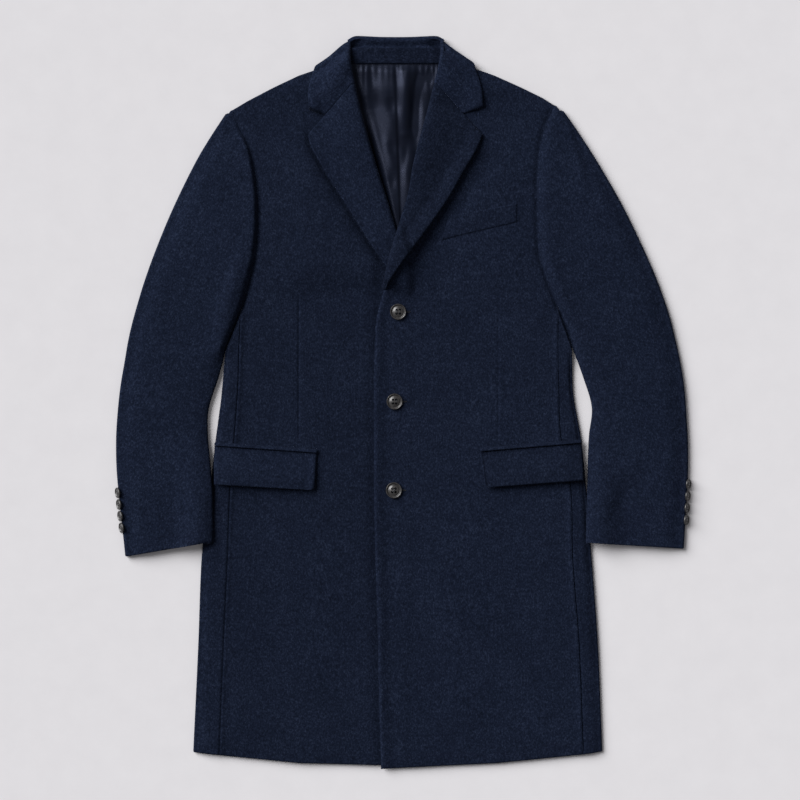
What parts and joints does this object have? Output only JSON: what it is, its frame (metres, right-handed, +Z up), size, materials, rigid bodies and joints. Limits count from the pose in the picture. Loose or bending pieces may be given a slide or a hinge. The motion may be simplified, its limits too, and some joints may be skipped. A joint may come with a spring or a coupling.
{
  "type": "wool overcoat",
  "caption": "Single-breasted wool overcoat lying flat on its back, with notched lapels, flap pockets, a chest welt, a lined neck opening and buttoned cuffs.",
  "frame": {"origin": "middle of the bounding box in plan, at the height of the surface that the coat lies on", "axes": "+X across the coat towards the wearer's left sleeve, +Y from the hem to the collar, +Z up from the surface"},
  "size_m": [0.8078, 1.0242, 0.0186],
  "materials": {
    "wool": "milled wool coating, dark navy melange, soft nap",
    "lining": "satin lining, slate blue-grey",
    "horn": "dark grey horn-like button resin, satin"
  },
  "bodies": {
    "root": {"back_left": "wool", "back_right": "wool", "side_left": "wool", "side_right": "wool", "front_left": "wool", "front_right": "wool", "lapel_left": "wool", "lapel_right": "wool", "collar_left": "wool", "collar_right": "wool", "collar_back": "wool", "collar_stand": "wool", "sleeve_top_left": "wool", "sleeve_top_right": "wool", "sleeve_under_left": "wool", "sleeve_under_right": "wool", "flap_left": "wool", "flap_right": "wool", "flap_jet_left": "wool", "flap_jet_right": "wool", "chest_welt": "wool", "lining": "lining", "button_1": "horn", "button_2": "horn", "button_3": "horn", "sleeve_button_left_1": "horn", "sleeve_button_left_2": "horn", "sleeve_button_left_3": "horn", "sleeve_button_left_4": "horn", "sleeve_button_right_1": "horn", "sleeve_button_right_2": "horn", "sleeve_button_right_3": "horn", "sleeve_button_right_4": "horn"}
  },
  "joints": []
}
